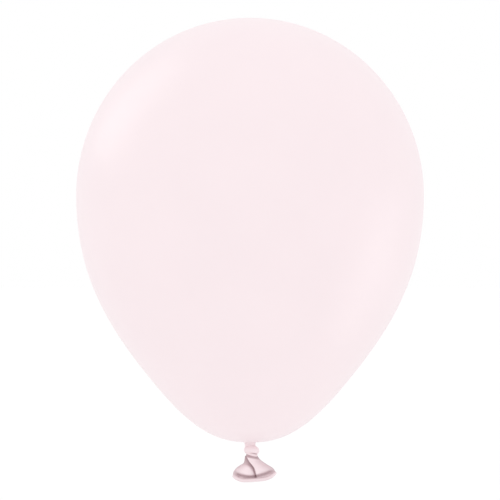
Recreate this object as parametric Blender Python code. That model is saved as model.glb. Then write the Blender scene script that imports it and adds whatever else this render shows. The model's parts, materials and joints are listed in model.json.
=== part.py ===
"""A round latex party balloon, inflated, tied off and standing neck down.

The latex is one dipped skin on the real thing. Here it is divided where the skin changes its
job and where it bends: the inflated body, the gathered neck, the turn of the overhand knot, the
strand that the turn grips, the flared tail and the bead rolled round the tail's mouth.

Units are metres and +Z is up. The origin is the middle of the neck opening in the body's
underside, which is also the point that the neck twists and leans about.
"""

import math

import bmesh
import bpy
from mathutils import Vector

MM = 0.001
CLEARANCE = 0.3 * MM                # air gap between neighbouring pieces

# Inflated body
BODY_RADIUS = 152.5 * MM            # half of the rated 12 inch (305 mm) diameter
WIDEST_HEIGHT = 216.0 * MM          # widest ring, above the neck opening
CROWN_RISE = 156.0 * MM             # crown, above the widest ring
BODY_WALL = 0.05 * MM
FLANK_RADIUS = 86.0 * MM            # a point half-way down the tapering flank
FLANK_HEIGHT = 53.5 * MM
FLANK_ANGLE = math.radians(39.0)    # the flank's lean from the vertical at that point
SIDE_FULLNESS = 75.0 * MM           # how far the curve runs on straight from the widest ring,
FLANK_FULLNESS_UP = 52.5 * MM       # from the flank point upwards
FLANK_FULLNESS_DOWN = 48.0 * MM     # and downwards,
UNDERSIDE_FULLNESS = 28.0 * MM      # and outwards from the neck opening

# Gathered neck: a ball joint in the body's opening
NECK_RADIUS = 4.9 * MM

# Overhand knot: a strand, with one turn of latex pulled tight round it
STRAND_RADIUS = 3.4 * MM
SOCKET_LIP = 0.6 * MM               # wall of the strand's cup round the neck, at its edge
WRAP_SLACK = 0.8 * MM               # room in the turn for the strand, which crosses it aslant
WRAP_THICKNESS = 2.8 * MM
WRAP_LENGTH = 6.6 * MM              # the turn's length along the strand
WRAP_RISE = 1.1 * MM                # how far the turn's top stands above the neck's lowest point
WRAP_TILT = math.radians(8.0)       # the turn runs down to +X
WAIST_RADIUS = 4.9 * MM             # the strand's swollen lower end, on which the tail hangs
WAIST_SLACK = 0.9 * MM              # room under the turn for its tilt
WAIST_CENTRE_X = 1.5 * MM           # the strand leans out to +X

# Tail: a flattened funnel of unstretched latex
TAIL_WALL = 0.4 * MM
TAIL_REACH = math.radians(50.0)     # how far the tail's socket wraps up the waist
MOUTH_HALF_WIDTH = 17.7 * MM        # of the bead's centre line
MOUTH_HALF_DEPTH = 5.2 * MM
MOUTH_CENTRE_X = 3.9 * MM
MOUTH_HEIGHT = -29.0 * MM           # bead's centre line, at the two ends of the mouth
MOUTH_DIP = 4.3 * MM                # how much lower it runs at the front and the back
BEAD_RADIUS = 1.7 * MM
SHOULDER_HALF_WIDTH = 7.2 * MM      # skirt just under the waist
SHOULDER_HALF_DEPTH = 5.4 * MM
SHOULDER_CENTRE_X = 2.4 * MM
SKIRT_FLARE = (                     # share of the skirt's height, and of its widening there
    (0.0, 0.0), (0.25, 0.22), (0.55, 0.76), (0.8, 0.97), (1.0, 1.0)
)
CAVITY_TOP = 0.3                    # the mouth's hollow ends this far down the skirt's height
CAVITY_SQUARENESS = 4               # 2 would round its top off evenly; more keeps it wide
FOLD_DEPTH = 0.16                   # of the two diagonal folds, as a share of the half-depth
FOLD_HALF_ANGLE = math.radians(22.0)
FOLD_START = math.radians(215.0)    # where the front fold leaves the waist, round from +X,
FOLD_END = math.radians(273.0)      # and where it meets the bead; the back fold is half a turn on

# Facets
BODY_SEGMENTS = 48
FLANK_STEPS = 9
UNDERSIDE_STEPS = 8
CROWN_STEPS = 13
SMALL_SEGMENTS = 32
SOCKET_STEPS = 5
BALL_STEPS = 12
TUBE_SIDES = 12
SKIRT_STEPS = 12
CAVITY_STEPS = 9
MOUTH_SEGMENTS = 48


def clear_scene():
    """Remove everything that a new Blender file holds."""
    for item in list(bpy.data.objects):
        bpy.data.objects.remove(item, do_unlink=True)


def latex(name, colour, roughness):
    """Return a Principled material for one piece."""
    material = bpy.data.materials.new(name)
    material.use_nodes = True
    shader = material.node_tree.nodes["Principled BSDF"]
    shader.inputs["Base Color"].default_value = (*colour, 1.0)
    shader.inputs["Roughness"].default_value = roughness
    shader.inputs["Metallic"].default_value = 0.0
    return material


def skin_rings(name, rings, top=None, bottom=None, material=None):
    """Join equal rings of points, first to last, into one closed smooth body.

    top and bottom are the poles beyond the first and the last ring. Without them the last ring
    joins the first again, as on a hose bent into a ring.
    """
    mesh = bmesh.new()
    loops = [[mesh.verts.new(point) for point in ring] for ring in rings]
    count = len(loops[0])
    pairs = list(zip(loops, loops[1:]))
    if top is None:
        pairs.append((loops[-1], loops[0]))
    for upper, lower in pairs:
        for i in range(count):
            j = (i + 1) % count
            mesh.faces.new((upper[i], upper[j], lower[j], lower[i]))
    if top is not None:
        for pole, loop in ((top, loops[0]), (bottom, loops[-1])):
            tip = mesh.verts.new(pole)
            for i in range(count):
                mesh.faces.new((tip, loop[i], loop[(i + 1) % count]))
    bmesh.ops.recalc_face_normals(mesh, faces=mesh.faces)
    data = bpy.data.meshes.new(name)
    mesh.to_mesh(data)
    mesh.free()
    data.shade_smooth()
    data.set_sharp_from_angle(angle=math.radians(50.0))
    data.materials.append(material)
    piece = bpy.data.objects.new(name, data)
    bpy.context.scene.collection.objects.link(piece)
    return piece


def hang_on_joint(pieces, pivot):
    """Move the origins of these pieces to the point that they turn about."""
    for piece in pieces:
        for vertex in piece.data.vertices:
            vertex.co -= pivot
        piece.location = pivot


def circle(centre_x, height, radius, count):
    """Return a level ring of points about a vertical line at y = 0."""
    turns = [2.0 * math.pi * i / count for i in range(count)]
    return [
        Vector((centre_x + radius * math.cos(turn), radius * math.sin(turn), height))
        for turn in turns
    ]


def bezier(start, start_handle, end_handle, end, steps):
    """Return points along a cubic curve, both ends included."""
    points = []
    for step in range(steps + 1):
        t = step / steps
        s = 1.0 - t
        points.append(
            s**3 * start + 3.0 * s * s * t * start_handle + 3.0 * s * t * t * end_handle + t**3 * end
        )
    return points


def smooth_table(rows, at):
    """Read a table of (position, value) rows along a smooth curve through them."""
    last = len(rows) - 1
    k = max(i for i in range(last) if rows[i][0] <= at)
    p0, p1, p2, p3 = (rows[i][1] for i in (max(k - 1, 0), k, k + 1, min(k + 2, last)))
    t = (at - rows[k][0]) / (rows[k + 1][0] - rows[k][0])
    linear = (p2 - p0) * t
    square = (2.0 * p0 - 5.0 * p1 + 4.0 * p2 - p3) * t * t
    cube = (3.0 * p1 - p0 - 3.0 * p2 + p3) * t**3
    return p1 + 0.5 * (linear + square + cube)


def opening_radius():
    """Radius of the hole in the body's underside, round the neck."""
    return NECK_RADIUS + CLEARANCE


def wrap_middle_height():
    """Height of the turn's middle."""
    return WRAP_RISE - NECK_RADIUS - 0.5 * WRAP_LENGTH


def waist_centre():
    """Middle of the strand's swollen end: as high under the turn as its width lets it sit."""
    hole = STRAND_RADIUS + WRAP_SLACK
    drop = math.sqrt(max(0.0, WAIST_RADIUS**2 - hole**2)) + WAIST_SLACK
    return Vector((WAIST_CENTRE_X, 0.0, wrap_middle_height() - 0.5 * WRAP_LENGTH - drop))


def body_profile():
    """Return the body's outline as (radius, height), from the neck opening to below the crown."""
    opening = Vector((opening_radius(), 0.0))
    flank = Vector((FLANK_RADIUS, FLANK_HEIGHT))
    widest = Vector((BODY_RADIUS, WIDEST_HEIGHT))
    up_flank = Vector((math.sin(FLANK_ANGLE), math.cos(FLANK_ANGLE)))
    underside = bezier(
        opening,
        opening + Vector((UNDERSIDE_FULLNESS, 0.0)),
        flank - up_flank * FLANK_FULLNESS_DOWN,
        flank,
        UNDERSIDE_STEPS,
    )
    side = bezier(
        flank,
        flank + up_flank * FLANK_FULLNESS_UP,
        widest - Vector((0.0, SIDE_FULLNESS)),
        widest,
        FLANK_STEPS,
    )
    crown = []
    for step in range(1, CROWN_STEPS):
        turn = 0.5 * math.pi * step / CROWN_STEPS
        crown.append(widest + Vector((
            BODY_RADIUS * (math.cos(turn) - 1.0), CROWN_RISE * math.sin(turn)
        )))
    return underside + side[1:] + crown


def offset_profile(profile, distance):
    """Move an outline inwards, along its own normals. Its first normal points straight down."""
    moved = [profile[0] + Vector((0.0, distance))]
    for before, here, after in zip(profile, profile[1:], profile[2:]):
        along = (after - before).normalized()
        moved.append(here + Vector((-along.y, along.x)) * distance)
    along = (Vector((0.0, WIDEST_HEIGHT + CROWN_RISE)) - profile[-2]).normalized()
    moved.append(profile[-1] + Vector((-along.y, along.x)) * distance)
    return moved


def make_envelope():
    """The inflated body: a thin open skin with the neck opening at its bottom."""
    outer = body_profile()
    inner = offset_profile(outer, BODY_WALL)
    crown = WIDEST_HEIGHT + CROWN_RISE
    rings = [circle(0.0, height, radius, BODY_SEGMENTS) for radius, height in reversed(outer)]
    rings += [circle(0.0, height, radius, BODY_SEGMENTS) for radius, height in inner]
    skin_rings(
        "envelope",
        rings,
        top=Vector((0.0, 0.0, crown)),
        bottom=Vector((0.0, 0.0, crown - BODY_WALL)),
        material=latex("latex_envelope", (0.955, 0.830, 0.855), 0.35),
    )


def ball_rings(centre, radius, first_angle, last_angle, steps, count):
    """Rings on a ball between two angles, which are measured from straight below its centre."""
    rings = []
    for step in range(steps + 1):
        angle = first_angle + (last_angle - first_angle) * step / steps
        height = centre.z - radius * math.cos(angle)
        rings.append(circle(centre.x, height, radius * math.sin(angle), count))
    return rings


def make_neck():
    """The gathered neck: a ball that fills the opening and turns in it."""
    first_angle = math.pi / BALL_STEPS
    rings = ball_rings(
        Vector((0.0, 0.0, 0.0)), NECK_RADIUS, math.pi - first_angle, first_angle,
        BALL_STEPS - 2, SMALL_SEGMENTS,
    )
    skin_rings(
        "neck",
        rings,
        top=Vector((0.0, 0.0, NECK_RADIUS)),
        bottom=Vector((0.0, 0.0, -NECK_RADIUS)),
        material=latex("latex_neck", (0.940, 0.760, 0.790), 0.35),
    )


def make_knot_strand():
    """The strand that the knot grips: a cup under the neck, a shank and the swollen waist."""
    cup_radius = NECK_RADIUS + CLEARANCE
    reach = math.asin((STRAND_RADIUS - SOCKET_LIP) / cup_radius)
    pole_angle = reach / (SOCKET_STEPS + 1)
    cup = ball_rings(
        Vector((0.0, 0.0, 0.0)), cup_radius, pole_angle, reach, SOCKET_STEPS, SMALL_SEGMENTS
    )
    lip_height = -cup_radius * math.cos(reach)
    waist = waist_centre()
    shank_angle = math.pi - math.asin(STRAND_RADIUS / WAIST_RADIUS)
    last_angle = math.pi / BALL_STEPS
    middle = wrap_middle_height()
    outside = [
        circle(0.0, lip_height, STRAND_RADIUS, SMALL_SEGMENTS),
        circle(waist.x * middle / waist.z, middle, STRAND_RADIUS, SMALL_SEGMENTS),
    ]
    outside += ball_rings(
        waist, WAIST_RADIUS, shank_angle, last_angle, BALL_STEPS, SMALL_SEGMENTS
    )
    return skin_rings(
        "knot_strand",
        cup + outside,
        top=Vector((0.0, 0.0, -cup_radius)),
        bottom=waist - Vector((0.0, 0.0, WAIST_RADIUS)),
        material=latex("latex_knot_strand", (0.900, 0.680, 0.715), 0.30),
    )


def make_knot_wrap():
    """The turn of latex pulled tight round the strand: a barrel-shaped ring."""
    ring_radius = STRAND_RADIUS + WRAP_SLACK + 0.5 * WRAP_THICKNESS
    waist = waist_centre()
    middle = wrap_middle_height()
    centre = Vector((waist.x * middle / waist.z, 0.0, middle))
    rings = []
    for i in range(SMALL_SEGMENTS):
        turn = 2.0 * math.pi * i / SMALL_SEGMENTS
        ring = []
        for k in range(TUBE_SIDES):
            angle = 2.0 * math.pi * k / TUBE_SIDES
            radius = ring_radius + 0.5 * WRAP_THICKNESS * math.cos(angle)
            across = radius * math.cos(turn)
            height = 0.5 * WRAP_LENGTH * math.sin(angle) - across * math.tan(WRAP_TILT)
            ring.append(centre + Vector((across, radius * math.sin(turn), height)))
        rings.append(ring)
    material = latex("latex_knot_wrap", (0.925, 0.730, 0.760), 0.30)
    return skin_rings("knot_wrap", rings, material=material)


def mouth_line(turn):
    """The bead's centre line: a point, and the directions along it and level outwards there."""
    point = Vector((
        MOUTH_CENTRE_X + MOUTH_HALF_WIDTH * math.cos(turn),
        MOUTH_HALF_DEPTH * math.sin(turn),
        MOUTH_HEIGHT - MOUTH_DIP * math.sin(turn) ** 2,
    ))
    along = Vector((
        -MOUTH_HALF_WIDTH * math.sin(turn),
        MOUTH_HALF_DEPTH * math.cos(turn),
        -MOUTH_DIP * math.sin(2.0 * turn),
    )).normalized()
    outward = Vector((along.y, -along.x, 0.0)).normalized()
    return point, along, outward


def make_rolled_rim():
    """The bead: the end of the latex, rolled on itself round the mouth."""
    rings = []
    for i in range(MOUTH_SEGMENTS):
        turn = 2.0 * math.pi * i / MOUTH_SEGMENTS
        point, along, outward = mouth_line(turn)
        up = outward.cross(along)
        rings.append([
            point
            + outward * BEAD_RADIUS * math.cos(2.0 * math.pi * k / TUBE_SIDES)
            + up * BEAD_RADIUS * math.sin(2.0 * math.pi * k / TUBE_SIDES)
            for k in range(TUBE_SIDES)
        ])
    return skin_rings("rolled_rim", rings, material=latex("latex_rim", (0.905, 0.690, 0.725), 0.25))


def between(start, end, share):
    """Return the value a share of the way from start to end."""
    return start + (end - start) * share


def fold(turn, share):
    """Shrink factor of the skirt where its diagonal folds run, one in front and one behind."""
    front = between(FOLD_START, FOLD_END, share)
    strength = FOLD_DEPTH * math.sin(0.25 * math.pi * (1.0 + 3.0 * share))
    factor = 1.0
    for middle in (front, front - math.pi):
        away = math.remainder(turn - middle, 2.0 * math.pi)
        factor -= strength * math.exp(-((away / FOLD_HALF_ANGLE) ** 2))
    return factor


def skirt_ring(share, top_height, wall, closing):
    """One ring of the skirt, a share of the way from the waist to the bead."""
    flare = smooth_table(SKIRT_FLARE, share)
    centre_x = between(SHOULDER_CENTRE_X, MOUTH_CENTRE_X, flare)
    half_width = between(SHOULDER_HALF_WIDTH, MOUTH_HALF_WIDTH + 0.5 * TAIL_WALL, flare)
    half_depth = between(SHOULDER_HALF_DEPTH, MOUTH_HALF_DEPTH + 0.5 * TAIL_WALL, flare)
    ring = []
    for i in range(MOUTH_SEGMENTS):
        turn = 2.0 * math.pi * i / MOUTH_SEGMENTS
        point, along, _outward = mouth_line(turn)
        edge_height = point.z + (BEAD_RADIUS + CLEARANCE) / math.hypot(along.x, along.y)
        shrink = fold(turn, share)
        ring.append(Vector((
            centre_x + closing * (half_width * shrink - wall) * math.cos(turn),
            closing * (half_depth * shrink - wall) * math.sin(turn),
            between(top_height, edge_height, share),
        )))
    return ring


def make_tail():
    """The tail: solid gathers hung on the waist, opening into a hollow flattened skirt."""
    waist = waist_centre()
    socket_radius = WAIST_RADIUS + CLEARANCE
    top_height = waist.z - socket_radius * math.cos(TAIL_REACH)
    pole_angle = TAIL_REACH / (SOCKET_STEPS + 1)
    socket = ball_rings(
        waist, socket_radius, pole_angle, TAIL_REACH, SOCKET_STEPS, MOUTH_SEGMENTS
    )
    outside = [
        skirt_ring(step / SKIRT_STEPS, top_height, 0.0, 1.0) for step in range(SKIRT_STEPS + 1)
    ]
    inside = []
    for step in range(CAVITY_STEPS):
        share = between(1.0, CAVITY_TOP, step / CAVITY_STEPS)
        rise = (1.0 - share) / (1.0 - CAVITY_TOP)
        closing = math.sqrt(1.0 - rise**CAVITY_SQUARENESS)
        inside.append(skirt_ring(share, top_height, TAIL_WALL, closing))
    mean_edge = MOUTH_HEIGHT - 0.5 * MOUTH_DIP + BEAD_RADIUS + CLEARANCE
    cavity_centre_x = between(
        SHOULDER_CENTRE_X, MOUTH_CENTRE_X, smooth_table(SKIRT_FLARE, CAVITY_TOP)
    )
    return skin_rings(
        "tail",
        socket + outside + inside,
        top=waist - Vector((0.0, 0.0, socket_radius)),
        bottom=Vector((cavity_centre_x, 0.0, between(top_height, mean_edge, CAVITY_TOP))),
        material=latex("latex_tail", (0.890, 0.655, 0.695), 0.28),
    )


def main():
    """Model the balloon, and hang each moving piece on its joint."""
    clear_scene()
    make_envelope()
    make_neck()
    hang_on_joint([make_knot_strand(), make_knot_wrap()], Vector((0.0, 0.0, 0.0)))
    hang_on_joint([make_tail(), make_rolled_rim()], waist_centre())


main()
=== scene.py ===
"""A round latex party balloon in pale pink, inflated and tied, seen neck down in a white studio.

The origin is the middle of the neck opening in the body's underside, so the neck, the knot and
the tail have negative heights. The body's and the neck's sizes are metres. The knot's and the
tail's are millimetres, and are scaled where their points are made.
"""

import json
import math

import bmesh
import bpy
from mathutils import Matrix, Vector, noise


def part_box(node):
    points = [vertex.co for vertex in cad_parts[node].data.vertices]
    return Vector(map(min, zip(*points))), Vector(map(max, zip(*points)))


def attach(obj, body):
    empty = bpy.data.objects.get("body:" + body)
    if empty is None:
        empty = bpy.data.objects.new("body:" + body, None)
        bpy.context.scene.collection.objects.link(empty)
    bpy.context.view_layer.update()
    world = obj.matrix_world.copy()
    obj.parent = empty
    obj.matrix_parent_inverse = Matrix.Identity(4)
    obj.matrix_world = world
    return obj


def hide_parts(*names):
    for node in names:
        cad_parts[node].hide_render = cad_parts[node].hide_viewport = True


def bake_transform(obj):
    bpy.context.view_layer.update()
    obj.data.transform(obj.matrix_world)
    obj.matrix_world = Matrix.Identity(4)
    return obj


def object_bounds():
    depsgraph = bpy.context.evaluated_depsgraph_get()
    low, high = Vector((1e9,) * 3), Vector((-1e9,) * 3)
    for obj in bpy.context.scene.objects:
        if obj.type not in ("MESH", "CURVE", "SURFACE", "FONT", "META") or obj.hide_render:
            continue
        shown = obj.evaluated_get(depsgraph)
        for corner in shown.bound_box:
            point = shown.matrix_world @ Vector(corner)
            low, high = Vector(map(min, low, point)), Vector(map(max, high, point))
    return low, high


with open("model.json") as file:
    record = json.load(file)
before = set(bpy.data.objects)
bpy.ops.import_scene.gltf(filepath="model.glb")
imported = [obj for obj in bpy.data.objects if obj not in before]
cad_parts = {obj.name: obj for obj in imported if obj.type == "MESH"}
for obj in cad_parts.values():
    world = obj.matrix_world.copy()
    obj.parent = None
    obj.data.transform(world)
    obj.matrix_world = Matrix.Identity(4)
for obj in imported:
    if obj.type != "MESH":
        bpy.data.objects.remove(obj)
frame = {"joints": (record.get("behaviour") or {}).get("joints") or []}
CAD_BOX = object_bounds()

MM = 0.001
TURN = 2.0 * math.pi

# Sizes that the frame gives
BODY_LOW, BODY_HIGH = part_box("envelope")
BODY_RADIUS = BODY_HIGH.x
CROWN_HEIGHT = BODY_HIGH.z
KNOT_CENTRE_X = 1.2 * MM
RIM_LOW, RIM_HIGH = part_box("rolled_rim")
JOINTS = {joint["name"]: joint for joint in frame["joints"]}
WAIST = Vector(JOINTS["tail_flop"]["pos_m"])

# Body outline
OPENING_RADIUS = 5.2 * MM
WIDEST_HEIGHT = 216.0 * MM
FLANK = Vector((86.0 * MM, 53.5 * MM))
FLANK_ANGLE = math.radians(39.0)
SIDE_FULLNESS = 75.0 * MM
FLANK_FULLNESS_UP = 52.5 * MM
FLANK_FULLNESS_DOWN = 48.0 * MM
UNDERSIDE_FULLNESS = 28.0 * MM
SKIN_THICKNESS = 0.06 * MM
NUB_HEIGHT = 0.6 * MM               # thick spot where the mould's tip was
NUB_RADIUS = 5.0 * MM

# Neck
NECK_RADIUS = 4.8 * MM
NECK_TOP = -1.3 * MM                # the skin gives way to the gathered sleeve here
NECK_END = -8.2 * MM                # and the sleeve ends inside the knot
FILLET_WIDTH = 2.6 * MM
FILLET_JOIN = 0.035                 # where the fillet meets the underside's curve, as a share of it
GATHER_REACH = 9.0 * MM             # how far out over the underside the gathers fade
STEM_GATHER = 0.20 * MM             # depth of the gathers round the stem
UNDERSIDE_GATHER = 0.42 * MM        # and their height on the underside
STEM_TONE = 0.28                    # how gathered the stem's latex is
SKIN_SEGMENTS = 224
LAP = 0.7 * MM                      # how far the sleeve reaches up inside the skin
LAP_OFFSET = 0.03 * MM              # the skin is outside by this at its top, inside at its foot
PLEATS = ((7, 0.40, 0.3), (11, 0.32, 1.9), (16, 0.24, 4.1), (23, 0.16, 2.6))

# Knot: one strand wound about twice, wide first and tight after, in millimetres
FRONT = 1.5 * math.pi               # turning angle of the side that faces the camera
WIND_START = math.radians(95.0)
WIND_TURNS = 2.05
WIND_PITCH = 4.9
END_RISE = 0.55                     # the strand's end turns up under the wide turn, in pitches
END_TUCK = 2.6                      # how far the strand's ends dive in towards the core
WIDE_TURN = {"height": -6.25, "radius": 5.3, "tall": 3.3, "thick": 1.7, "lean": 1.0, "tilt": 0.0}
TIGHT_TURN = {"height": -10.8, "radius": 4.4, "tall": 1.3, "thick": 1.25, "lean": 0.0, "tilt": 0.16}
CORE_ROWS = ((3.2, -4.6), (4.1, -5.4), (4.2, -8.0), (3.9, -10.5), (3.4, -12.0))  # radius, height

# Tail, in millimetres
TAIL_POINTS = 450                   # round the tail
TAIL_RINGS = 110                    # down it
FOLD_ANGLES = (math.radians(248.0), math.radians(80.0))     # points stand closer at these folds
LATEX_THICKNESS = 0.4
MOUTH_DIP = 4.2
MOUTH_TILT = 1.35
BEAD_RADIUS = 1.7
SKIN_FOOT = 0.35 * BEAD_RADIUS      # the skin ends this far above the bead's middle, inside it
GROOVE_DEPTH = 2.3                  # the hollow just above the bead
OVERLAP = 0.28                      # how far the right lobe's edge hangs over the left lobe
EDGE_ROUNDING = 0.75
PILLOW_SHADE = 0.48                 # painted shade: how much a lobe's colour darkens towards its edges


def between(start, end, share):
    """Return the value a share of the way from start to end."""
    return start + (end - start) * share


def smooth_step(low, high, value):
    """Rise from 0 to 1 as value goes from low to high, level at both ends."""
    t = min(1.0, max(0.0, (value - low) / (high - low)))
    return t * t * (3.0 - 2.0 * t)


def table(rows, at):
    """Read (position, value) rows along a smooth curve through them; positions rise."""
    last = len(rows) - 1
    at = min(max(at, rows[0][0]), rows[last][0])
    k = max(i for i in range(last) if rows[i][0] <= at)
    p0, p1, p2, p3 = (rows[i] for i in (max(k - 1, 0), k, k + 1, min(k + 2, last)))
    width = p2[0] - p1[0]
    t = (at - p1[0]) / width
    slope_in = (p2[1] - p0[1]) / (p2[0] - p0[0]) * width
    slope_out = (p3[1] - p1[1]) / (p3[0] - p1[0]) * width
    return (
        (2 * t**3 - 3 * t * t + 1) * p1[1] + (t**3 - 2 * t * t + t) * slope_in
        + (3 * t * t - 2 * t**3) * p2[1] + (t**3 - t * t) * slope_out
    )


def bezier(p0, p1, p2, p3, t):
    """Return the point at t on a cubic curve."""
    s = 1.0 - t
    return s**3 * p0 + 3 * s * s * t * p1 + 3 * s * t * t * p2 + t**3 * p3


def pleats(angle):
    """Gathers round the neck, between about -1 and 1."""
    return sum(size * math.cos(count * angle + phase) for count, size, phase in PLEATS)


def surface(name, rings, tone_and_painted_shade, start_pole=None, end_pole=None):
    """Skin equal rings into one smooth mesh. tone_and_painted_shade gives how deep each point's
    colour is: deeper where the latex is gathered, and painted shade in folds and hollows.
    """
    mesh = bmesh.new()
    layer = mesh.verts.layers.float.new("gathered_and_painted_shade")
    loops = []
    for ring, shares in zip(rings, tone_and_painted_shade):
        loop = [mesh.verts.new(point) for point in ring]
        for vertex, share in zip(loop, shares):
            vertex[layer] = min(1.0, max(0.0, share))
        loops.append(loop)
    count = len(loops[0])
    for upper, lower in zip(loops, loops[1:]):
        for i in range(count):
            j = (i + 1) % count
            mesh.faces.new((upper[i], upper[j], lower[j], lower[i]))
    for pole, loop in ((start_pole, loops[0]), (end_pole, loops[-1])):
        if pole is not None:
            tip = mesh.verts.new(pole)
            tip[layer] = loop[0][layer]
            for i in range(count):
                mesh.faces.new((tip, loop[i], loop[(i + 1) % count]))
    bmesh.ops.recalc_face_normals(mesh, faces=mesh.faces)
    data = bpy.data.meshes.new(name)
    mesh.to_mesh(data)
    mesh.free()
    data.shade_smooth()
    piece = bpy.data.objects.new(name, data)
    bpy.context.scene.collection.objects.link(piece)
    return piece


def apply_modifier(piece, kind, **settings):
    """Add a modifier, set it and make its result the piece's mesh."""
    modifier = piece.modifiers.new(kind.title(), kind)
    for key, value in settings.items():
        setattr(modifier, key, value)
    graph = bpy.context.evaluated_depsgraph_get()
    data = bpy.data.meshes.new_from_object(piece.evaluated_get(graph))
    piece.modifiers.clear()
    piece.data = data


# ---------------------------------------------------------------- shapes


def body_outline():
    """The body's outline from the neck to the crown, as (radius, height) points."""
    opening = Vector((OPENING_RADIUS, BODY_LOW.z))
    widest = Vector((BODY_RADIUS, WIDEST_HEIGHT))
    up_flank = Vector((math.sin(FLANK_ANGLE), math.cos(FLANK_ANGLE)))
    underside = (
        opening,
        opening + Vector((UNDERSIDE_FULLNESS, 0.0)),
        FLANK - up_flank * FLANK_FULLNESS_DOWN,
        FLANK,
    )
    side = (
        FLANK,
        FLANK + up_flank * FLANK_FULLNESS_UP,
        widest - Vector((0.0, SIDE_FULLNESS)),
        widest,
    )
    join = bezier(*underside, FILLET_JOIN)
    fillet = (
        Vector((NECK_RADIUS, NECK_TOP)),
        Vector((NECK_RADIUS, NECK_TOP * 0.25)),
        join - Vector((FILLET_WIDTH * 0.75, 0.0)),
        join,
    )
    points = [bezier(*fillet, i / 14) for i in range(14)]
    points += [bezier(*underside, between(FILLET_JOIN, 1.0, (i / 60) ** 1.5)) for i in range(60)]
    points += [bezier(*side, i / 46) for i in range(46)]
    for i in range(54):
        angle = 0.5 * math.pi * (1.0 - (1.0 - i / 54) ** 1.25)
        radius = BODY_RADIUS * math.cos(angle)
        height = WIDEST_HEIGHT + (CROWN_HEIGHT - WIDEST_HEIGHT) * math.sin(angle)
        points.append(Vector((radius, height + nub(radius))))
    return points


def nub(radius):
    """Height of the small thick spot at the crown."""
    return NUB_HEIGHT * math.exp(-((radius / NUB_RADIUS) ** 2))


def make_balloon_skin():
    """The inflated body with its short neck, gathered where it meets the knot."""
    segments = SKIN_SEGMENTS
    rings, tone_and_painted_shade = [], []
    for radius, height in body_outline():
        near_neck = 0.0
        if height < FLANK.y:
            near_neck = math.exp(-(radius - NECK_RADIUS) / GATHER_REACH)
        in_neck = 1.0 - smooth_step(NECK_RADIUS, NECK_RADIUS + 3.0 * MM, radius)
        crown = 0.75 * math.exp(-((radius / (11.0 * MM)) ** 2)) if height > WIDEST_HEIGHT else 0.0
        below = (NECK_TOP + 0.5 * LAP - height) / (0.5 * LAP)
        lap = -LAP_OFFSET * max(-1.0, min(1.0, below)) if height < 0.0 else 0.0
        ring, shares = [], []
        for i in range(segments):
            angle = TURN * i / segments
            fold = pleats(angle)
            out = radius + STEM_GATHER * fold * in_neck * near_neck + lap
            up = height + UNDERSIDE_GATHER * fold * near_neck * (1.0 - in_neck)
            ring.append(Vector((out * math.cos(angle), out * math.sin(angle), up)))
            # painted shade: the colour follows the gathers, deeper in their hollows and paler on
            # their ridges; the deeper tone near the stem and at the crown is the thicker latex's
            # own
            shares.append(STEM_TONE * near_neck**0.6 + crown - 0.10 * fold * near_neck)
        rings.append(ring)
        tone_and_painted_shade.append(shares)
    piece = surface(
        "balloon_skin", rings, tone_and_painted_shade, end_pole=Vector((0.0, 0.0, CROWN_HEIGHT + nub(0.0)))
    )
    apply_modifier(piece, "SOLIDIFY", thickness=SKIN_THICKNESS, offset=-1.0)
    return piece


def make_neck_sleeve():
    """The gathered stem that bends between the body and the knot."""
    segments, steps = SKIN_SEGMENTS, 26
    rings, tone_and_painted_shade = [], []
    for step in range(steps + 1):
        share = step / steps
        height = between(NECK_TOP + LAP, NECK_END, share)
        centre = KNOT_CENTRE_X * smooth_step(NECK_TOP, NECK_END, height) * 0.6
        waist = 1.0 - 0.04 * math.sin(math.pi * share)
        ring, shares = [], []
        for i in range(segments):
            angle = TURN * i / segments
            fold = pleats(angle)
            out = NECK_RADIUS * waist + STEM_GATHER * fold
            ring.append(Vector((centre + out * math.cos(angle), out * math.sin(angle), height)))
            # painted shade: the colour follows the gathers, deeper in their hollows and paler on
            # their ridges
            shares.append(STEM_TONE - 0.10 * fold)
        rings.append(ring)
        tone_and_painted_shade.append(shares)
    return surface(
        "neck_sleeve",
        rings,
        tone_and_painted_shade,
        start_pole=Vector((0.0, 0.0, NECK_TOP + 0.9 * MM)),
        end_pole=Vector((KNOT_CENTRE_X * 0.6, 0.0, NECK_END - 0.4 * MM)),
    )


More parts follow.
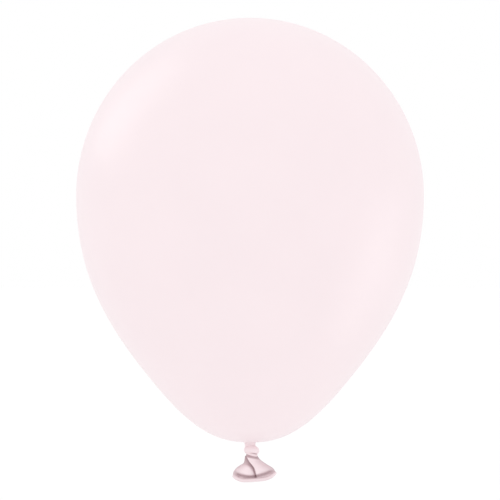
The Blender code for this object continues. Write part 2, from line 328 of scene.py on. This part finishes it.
def make_knot_turns():
    """The strand of the overhand knot: a wide turn round the neck, then a tight one under it."""
    steps, sides = 330, 48
    rings, tone_and_painted_shade = [], []
    for step in range(steps + 1):
        share = step / steps
        angle = WIND_START + TURN * WIND_TURNS * share
        past_front = (angle - FRONT) / TURN     # 0 at the first pass of the front, 1 at the next
        tight = smooth_step(0.15, 0.85, past_front)
        size = {key: between(WIDE_TURN[key], TIGHT_TURN[key], tight) for key in WIDE_TURN}
        taper = min(smooth_step(-0.02, 0.16, share), smooth_step(1.02, 0.86, share))
        drop = past_front - tight
        if past_front < 0.0:
            drop *= -0.35
        elif past_front > 1.0:
            drop *= max(0.0, 1.0 - 2.0 * drop)
            drop -= END_RISE * (1.0 - taper)
        height = size["height"] - WIND_PITCH * drop
        radius = size["radius"] - END_TUCK * (1.0 - taper)
        height -= size["tilt"] * radius * math.cos(angle)
        tall = size["tall"] * between(0.45, 1.0, taper)
        thick = size["thick"] * between(0.5, 1.0, taper)
        outward = Vector((math.cos(angle), math.sin(angle), 0.0))
        ring, shares = [], []
        for k in range(sides):
            way = TURN * k / sides
            up = math.sin(way)
            crease = math.sin(9.0 * way + 3.0 * math.sin(angle * 1.3))
            ridge = 1.0 + 0.02 * crease * (1.0 - max(0.0, up) ** 2)
            ridge += 0.03 * noise.noise(Vector((way * 2.0, angle * 3.0, 0.0)))
            out = radius + thick * ridge * math.cos(way) - size["lean"] * max(0.0, up) ** 1.5
            point = outward * out + Vector((0.0, 0.0, height + tall * ridge * up))
            ring.append(point * MM + Vector((KNOT_CENTRE_X, 0.0, 0.0)))
            # painted shade: the strand's underside and the dips between its ridges are coloured
            # deeper; the tight turn is deeper along its length
            under = smooth_step(-0.55, -1.0, up)
            shares.append(between(0.16, 0.40, tight) + 0.55 * under - 0.05 * crease)
        rings.append(ring)
        tone_and_painted_shade.append(shares)
    return surface(
        "knot_turns",
        rings,
        tone_and_painted_shade,
        start_pole=sum(rings[0], Vector()) / sides,
        end_pole=sum(rings[-1], Vector()) / sides,
    )


def make_knot_core():
    """The strand that runs straight down through the knot."""
    segments = 48
    rings = []
    for radius, height in CORE_ROWS:
        centre = between(0.0, WAIST.x, height * MM / WAIST.z)
        ring = []
        for i in range(segments):
            angle = TURN * i / segments
            out = (radius + 0.12 * pleats(angle)) * MM
            x, y = centre + out * math.cos(angle), out * math.sin(angle)
            ring.append(Vector((x, y, height * MM)))
        rings.append(ring)
    return surface(
        "knot_core",
        rings,
        [[0.8] * segments] * len(CORE_ROWS),
        start_pole=Vector((0.0, 0.0, -4.4 * MM)),
        end_pole=Vector((WAIST.x, 0.0, -12.3 * MM)),
    )


# Tail outline, by the height of its left and right edges
TAIL_TOP = -9.4
TAIL_LEFT = (
    (-30.0, -14.8), (-28.0, -14.9), (-26.3, -14.5), (-24.5, -13.3), (-22.2, -11.0), (-20.3, -8.1),
    (-19.1, -6.0), (-17.6, -5.2), (-15.0, -4.7), (-13.4, -4.3), (-12.0, -3.6), (-9.4, -2.6),
)
TAIL_RIGHT = (
    (-27.2, 22.4), (-25.0, 21.6), (-22.9, 19.8), (-19.9, 14.9), (-17.4, 11.2),
    (-15.5, 8.9), (-13.8, 7.5), (-12.0, 6.4), (-9.4, 5.2),
)
TAIL_MIDDLE = ((-30.0, 3.9), (-27.2, 3.9), (-20.0, 3.4), (-16.0, 2.0), (-13.0, 1.5), (-9.4, 1.2))
TAIL_DEPTH = (                      # half-depth, front to back, by share of the way down
    (0.0, 3.6), (0.15, 4.6), (0.3, 5.0), (0.45, 5.7), (0.62, 6.5), (0.78, 6.5), (0.9, 5.8),
    (1.0, 5.0),
)
FRONT_CREASE = (                    # the right lobe's edge, where it lies over the left lobe
    (-33.0, 5.9), (-28.1, 5.2), (-24.3, 4.3), (-21.6, 3.1), (-19.0, 0.9), (-17.2, -0.5),
    (-15.5, -1.5), (-13.7, -2.5), (-9.4, -3.4),
)
CREASE_WIDTH = (                    # how softly the left lobe sinks towards that edge
    (-33.0, 1.3), (-28.0, 1.5), (-24.0, 2.3), (-21.6, 3.4), (-20.5, 4.5), (-19.0, 6.5),
    (-16.0, 5.5), (-9.4, 4.5),
)
BACK_CREASE = ((-33.0, 0.4), (-26.0, 2.2), (-21.0, 4.6), (-17.0, 4.4), (-9.4, 3.0))
GROOVE = (                          # height of the hollow above the bead, by distance across
    (-14.5, -26.6), (-10.5, -28.7), (-7.0, -29.7), (-3.5, -30.4), (0.0, -30.6), (3.5, -30.4),
    (7.0, -29.7), (10.5, -28.8), (14.0, -27.8), (17.6, -26.4), (21.0, -25.4),
)


def mouth_point(angle):
    """The bead's centre line, in millimetres."""
    half_width = 0.5 * (RIM_HIGH.x - RIM_LOW.x) / MM - BEAD_RADIUS
    half_depth = 0.5 * (RIM_HIGH.y - RIM_LOW.y) / MM - BEAD_RADIUS
    middle = 0.5 * (RIM_HIGH.x + RIM_LOW.x) / MM
    across = math.cos(angle)
    dip = MOUTH_DIP * (1.0 - across**4)
    return Vector((
        middle + half_width * across,
        half_depth * math.sin(angle),
        -29.0 - dip + MOUTH_TILT * across,
    ))


def overlap(side, sink, rise, soft_left, soft_right):
    """One lobe lying over the other: (outward shift, sideways shift, depth of the fold 0 to 1)."""
    valley = math.exp(-((side / soft_left) ** 2))
    ridge = math.exp(-((side / soft_right) ** 2))
    step = smooth_step(-EDGE_ROUNDING, EDGE_ROUNDING, side)
    lean = 0.0
    if abs(side) < EDGE_ROUNDING:
        lean = -OVERLAP * math.sin(math.pi * side / EDGE_ROUNDING)
    return between(-sink * valley, rise * ridge, step), lean, valley * (1.0 - step)


def tail_point(angle, share):
    """A point of the tail and how deep its colour is, from gathered latex and from painted shade in
    its folds, hollow and edges. share goes from the knot, 0, to the bead, 1.
    """
    across = math.cos(angle)
    height = between(TAIL_TOP, mouth_point(angle).z + SKIN_FOOT, share)
    right_share = smooth_step(-0.6, 0.6, across)
    corner = between(mouth_point(math.pi).z, mouth_point(0.0).z, right_share) + SKIN_FOOT
    side_height = between(TAIL_TOP, corner, share)
    middle = table(TAIL_MIDDLE, side_height)
    left, right = table(TAIL_LEFT, side_height), table(TAIL_RIGHT, side_height)
    forth = math.copysign(abs(math.sin(angle)) ** 0.85, math.sin(angle))
    x = middle + between(middle - left, right - middle, right_share) * across
    y = table(TAIL_DEPTH, share) * forth
    facing = smooth_step(0.0, 0.5, abs(forth))
    # painted shade at the tail's sides, stronger lower down
    painted_edge_shade = (1.0 - smooth_step(0.0, 0.5, abs(forth))) * smooth_step(0.15, 0.4, share)

    groove_width = between(1.35, 1.9, min(1.0, abs(x) / 10.0))
    groove = math.exp(-(((height - table(GROOVE, x)) / groove_width) ** 2))
    groove *= smooth_step(0.15, 0.75, abs(forth))
    y -= math.copysign(GROOVE_DEPTH * groove, forth)

    near_bead = between(0.25, 1.0, smooth_step(0.97, 0.84, share))
    strength = facing * smooth_step(0.02, 0.2, share) * near_bead
    if forth < 0.0:
        crease = table(FRONT_CREASE, height)
        side = x - crease
        over, under = right - crease, crease - left
        out, lean, fold = overlap(side, 2.1, 1.1, table(CREASE_WIDTH, height), 5.5)
        y -= strength * out
        x += strength * lean
    else:
        crease = table(BACK_CREASE, height)
        side = crease - x
        over, under = crease - left, right - crease
        out, lean, fold = overlap(side, 1.7, 0.9, 3.0, 4.5)
        y += strength * out
        x -= strength * lean
    # painted shade on the lobes: pillow is 1 at a lobe's middle and falls away towards its edges
    if side > 0.0:
        pillow = 1.0 - min(1.0, side / over) ** 2.5
    else:
        pillow = math.sin(math.pi * min(1.0, -side / under)) ** 0.7

    fan = math.exp(-((share - 0.25) / 0.22) ** 2)
    ripple = 0.15 * fan * pleats(angle + 0.9 * share)
    ripple += 0.09 * noise.noise(Vector((5.0 * across, 5.0 * forth, 4.0 * share)))
    y += ripple * forth
    x += ripple * across * 0.6
    # painted shade: a dark band under the knot's tight turn, sloping down to the right
    throat = smooth_step(-14.9, -13.4, height + 0.2 * (x - WAIST.x / MM))
    # painted shade: the colour deepens in the fold under the right lobe's edge, in the hollow above
    # the bead, at the tail's sides, under the knot and towards each lobe's edges
    unshaded_share = 1.0
    for depth in (0.95 * fold * strength, 0.85 * groove, 0.5 * painted_edge_shade, 0.8 * throat):
        unshaded_share *= 1.0 - depth
    gathered_and_painted_shade = 1.0 - unshaded_share * (1.0 - PILLOW_SHADE * (1.0 - pillow))
    return Vector((x, y, height)) * MM, gathered_and_painted_shade


def uneven_angles(count, busy, spread, extra):
    """Angles once round, packed closer near each busy angle."""
    fine = 3600
    weights = []
    for i in range(fine):
        angle = TURN * i / fine
        weights.append(1.0 + extra * sum(math.exp(-((angle - at) / spread) ** 2) for at in busy))
    total = sum(weights)
    angles, passed = [], 0.0
    for i, weight in enumerate(weights):
        passed += weight
        while len(angles) < count and passed >= total * len(angles) / count:
            angles.append(TURN * i / fine)
    return angles


def make_tail_skin():
    """The flared tail: unstretched latex, flattened, one lobe folded over the other."""
    angles = uneven_angles(TAIL_POINTS, FOLD_ANGLES, 0.45, 2.5)
    rings, tone_and_painted_shade = [], []
    for step in range(TAIL_RINGS + 1):
        points = [tail_point(angle, step / TAIL_RINGS) for angle in angles]
        rings.append([point for point, gathered_and_painted_shade in points])
        tone_and_painted_shade.append([gathered_and_painted_shade for point, gathered_and_painted_shade in points])
    piece = surface("tail_skin", rings, tone_and_painted_shade)
    apply_modifier(piece, "SOLIDIFY", thickness=LATEX_THICKNESS * MM, offset=-1.0)
    return piece


def make_rolled_bead():
    """The bead round the mouth: the latex's end rolled on itself."""
    steps, sides = 320, 40
    rings, tone_and_painted_shade = [], []
    for i in range(steps + 1):
        angle = TURN * (i % steps) / steps
        point = mouth_point(angle)
        along = (mouth_point(angle + 0.01) - mouth_point(angle - 0.01)).normalized()
        outward = Vector((along.y, -along.x, 0.0)).normalized()
        up = outward.cross(along)
        wander = noise.noise(Vector((3.0 * math.cos(angle), 3.0 * math.sin(angle), 0.0)))
        left = smooth_step(-0.4, -1.0, math.cos(angle))
        size = BEAD_RADIUS * (1.0 + 0.05 * wander)
        ring, shares = [], []
        for k in range(sides):
            way = TURN * k / sides
            roll = math.cos(5.0 * way + 1.5 * math.sin(angle) + 0.8)
            reach = size * (1.0 + 0.022 * roll)
            tall = 1.0 + 0.20 * left * max(0.0, math.sin(way))
            across, rise = math.cos(way), math.sin(way)
            ring.append((point + outward * across * reach + up * rise * reach * tall) * MM)
            # painted shade: the dips between the roll's layers and the bead's top, where the skin
            # meets it, are coloured deeper
            shares.append(0.12 - 0.10 * min(0.0, roll) + 0.35 * smooth_step(0.5, 1.0, rise))
        rings.append(ring)
        tone_and_painted_shade.append(shares)
    return surface("rolled_bead", rings, tone_and_painted_shade)


# ---------------------------------------------------------------- materials


def latex(name, stretched, gathered_and_painted_shade, roughness, gloss, grain):
    """Latex whose colour deepens with the point's gathered_and_painted_shade value, for gathered
    latex and for painted shade, with a faint cloudiness and grain.
    """
    material = bpy.data.materials.new(name)
    material.use_nodes = True
    nodes, links = material.node_tree.nodes, material.node_tree.links
    shader = nodes["Principled BSDF"]
    place = nodes.new("ShaderNodeTexCoord")

    def cloud(scale, detail):
        node = nodes.new("ShaderNodeTexNoise")
        node.inputs["Scale"].default_value = scale
        node.inputs["Detail"].default_value = detail
        links.new(place.outputs["Object"], node.inputs["Vector"])
        return node

    def stretch_range(source, low, high):
        node = nodes.new("ShaderNodeMapRange")
        node.inputs["From Min"].default_value = 0.3
        node.inputs["From Max"].default_value = 0.7
        node.inputs["To Min"].default_value = low
        node.inputs["To Max"].default_value = high
        links.new(source, node.inputs["Value"])
        return node.outputs["Result"]

    # painted shade: the mesh value darkens the colour in creases, hollows, undersides and towards
    # lobe edges, as well as where the latex is gathered
    share = nodes.new("ShaderNodeAttribute")
    share.attribute_name = "gathered_and_painted_shade"
    tint = nodes.new("ShaderNodeMix")
    tint.data_type = "RGBA"
    tint.inputs["A"].default_value = (*stretched, 1.0)
    tint.inputs["B"].default_value = (*gathered_and_painted_shade, 1.0)
    links.new(share.outputs["Fac"], tint.inputs["Factor"])
    shade = nodes.new("ShaderNodeMix")
    shade.data_type = "RGBA"
    shade.blend_type = "MULTIPLY"
    shade.inputs["Factor"].default_value = 1.0
    links.new(tint.outputs["Result"], shade.inputs["A"])
    links.new(stretch_range(cloud(14.0, 3.0).outputs["Fac"], 0.985, 1.0), shade.inputs["B"])
    links.new(shade.outputs["Result"], shader.inputs["Base Color"])
    links.new(
        stretch_range(cloud(90.0, 4.0).outputs["Fac"], roughness - 0.03, roughness + 0.04),
        shader.inputs["Roughness"],
    )
    shader.inputs["Specular IOR Level"].default_value = gloss
    bump = nodes.new("ShaderNodeBump")
    bump.inputs["Strength"].default_value = grain
    bump.inputs["Distance"].default_value = 0.02 * MM
    links.new(cloud(1500.0, 5.0).outputs["Fac"], bump.inputs["Height"])
    links.new(bump.outputs["Normal"], shader.inputs["Normal"])
    return material


def finish_piece(piece, material):
    """Give a piece its material."""
    piece.data.materials.clear()
    piece.data.materials.append(material)


# ---------------------------------------------------------------- studio

FLOOR_HEIGHT = -0.32
FLOOR_COLOUR = (0.96, 0.96, 0.96)
WORLD_LEVEL = 1.02
FLOOR_LIFT = 0.04                   # brings the lit floor up to white for the camera


def backdrop_rays(nodes, links):
    """1 for the rays that should find plain white: camera, glossy and transmission rays."""
    path = nodes.new("ShaderNodeLightPath")
    found = path.outputs["Is Camera Ray"]
    for kind in ("Is Glossy Ray", "Is Transmission Ray"):
        either = nodes.new("ShaderNodeMath")
        either.operation = "MAXIMUM"
        links.new(found, either.inputs[0])
        links.new(path.outputs[kind], either.inputs[1])
        found = either.outputs["Value"]
    return found


def make_floor():
    """A wide pale floor under the floating balloon."""
    bpy.ops.mesh.primitive_plane_add(size=60.0, location=(0.0, 0.0, FLOOR_HEIGHT))
    floor = bpy.context.active_object
    floor.name = "studio_floor"
    material = bpy.data.materials.new("pale_floor")
    material.use_nodes = True
    nodes, links = material.node_tree.nodes, material.node_tree.links
    shader = nodes["Principled BSDF"]
    shader.inputs["Base Color"].default_value = (*FLOOR_COLOUR, 1.0)
    shader.inputs["Roughness"].default_value = 0.9
    shader.inputs["Specular IOR Level"].default_value = 0.2
    lift = nodes.new("ShaderNodeMath")
    lift.operation = "MULTIPLY"
    lift.inputs[1].default_value = FLOOR_LIFT
    links.new(backdrop_rays(nodes, links), lift.inputs[0])
    shader.inputs["Emission Color"].default_value = (1.0, 1.0, 1.0, 1.0)
    links.new(lift.outputs["Value"], shader.inputs["Emission Strength"])
    floor.data.materials.append(material)


def make_world():
    """Even white light from all round."""
    world = bpy.data.worlds.new("studio")
    bpy.context.scene.world = world
    world.use_nodes = True
    nodes, links = world.node_tree.nodes, world.node_tree.links
    light = nodes["Background"]
    light.inputs["Color"].default_value = (1.0, 1.0, 1.0, 1.0)
    light.inputs["Strength"].default_value = WORLD_LEVEL
    backdrop = nodes.new("ShaderNodeBackground")
    backdrop.inputs["Color"].default_value = (1.0, 1.0, 1.0, 1.0)
    backdrop.inputs["Strength"].default_value = 1.0
    mix = nodes.new("ShaderNodeMixShader")
    links.new(backdrop_rays(nodes, links), mix.inputs["Fac"])
    links.new(light.outputs["Background"], mix.inputs[1])
    links.new(backdrop.outputs["Background"], mix.inputs[2])
    links.new(mix.outputs["Shader"], nodes["World Output"].inputs["Surface"])


def make_softbox(name, location, target, width, height, power):
    """A rectangular lamp that lights only as gloss, and that the camera doesn't see."""
    data = bpy.data.lights.new(name, "AREA")
    data.shape = "RECTANGLE"
    data.size = width
    data.size_y = height
    data.energy = power
    lamp = bpy.data.objects.new(name, data)
    lamp.location = location
    lamp.rotation_euler = (Vector(target) - Vector(location)).to_track_quat("-Z", "Y").to_euler()
    lamp.visible_camera = False
    lamp.visible_diffuse = False
    bpy.context.scene.collection.objects.link(lamp)


CAMERA_DISTANCE = 2.2
PICTURE_OVER_BODY = 1.441           # the picture's width over the body's


def make_camera():
    """A level camera, square on, that takes in the whole balloon."""
    data = bpy.data.cameras.new("camera")
    width = PICTURE_OVER_BODY * 2.0 * BODY_RADIUS
    data.lens = data.sensor_width * CAMERA_DISTANCE / width
    camera = bpy.data.objects.new("camera", data)
    middle = 0.5 * (CAD_BOX[0].z + CAD_BOX[1].z)
    camera.location = (0.0, -CAMERA_DISTANCE, middle)
    camera.rotation_euler = (0.5 * math.pi, 0.0, 0.0)
    bpy.context.scene.collection.objects.link(camera)
    bpy.context.scene.camera = camera


make_camera()
make_world()
make_floor()
make_softbox("upper_left", (-1.43, 0.58, 1.28), (-0.10, 0.0, 0.28), 0.95, 1.5, 5.8)
make_softbox("lower_right", (0.58, -0.02, -0.08), (0.10, -0.09, 0.13), 0.30, 0.60, 0.65)

body_latex = latex("body_latex", (0.968, 0.843, 0.867), (0.900, 0.715, 0.745), 0.37, 0.30, 0.25)
# the tail's deep colour serves both its gathered latex and the painted shade in its folds and
# hollows
tail_latex = latex("tail_latex", (0.975, 0.830, 0.860), (0.440, 0.295, 0.320), 0.22, 0.50, 0.35)

balloon_skin = make_balloon_skin()
finish_piece(balloon_skin, body_latex)
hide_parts("envelope")
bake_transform(balloon_skin)

neck_sleeve = make_neck_sleeve()
finish_piece(neck_sleeve, body_latex)
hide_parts("neck")
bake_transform(neck_sleeve)

knot_turns = make_knot_turns()
finish_piece(knot_turns, body_latex)
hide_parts("knot_wrap")
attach(knot_turns, "knot")

knot_core = make_knot_core()
finish_piece(knot_core, tail_latex)
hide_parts("knot_strand")
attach(knot_core, "knot")

tail_skin = make_tail_skin()
finish_piece(tail_skin, tail_latex)
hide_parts("tail")
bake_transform(tail_skin)

rolled_bead = make_rolled_bead()
finish_piece(rolled_bead, tail_latex)
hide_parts("rolled_rim")
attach(rolled_bead, "tail")

bpy.context.scene.view_settings.view_transform = "Standard"
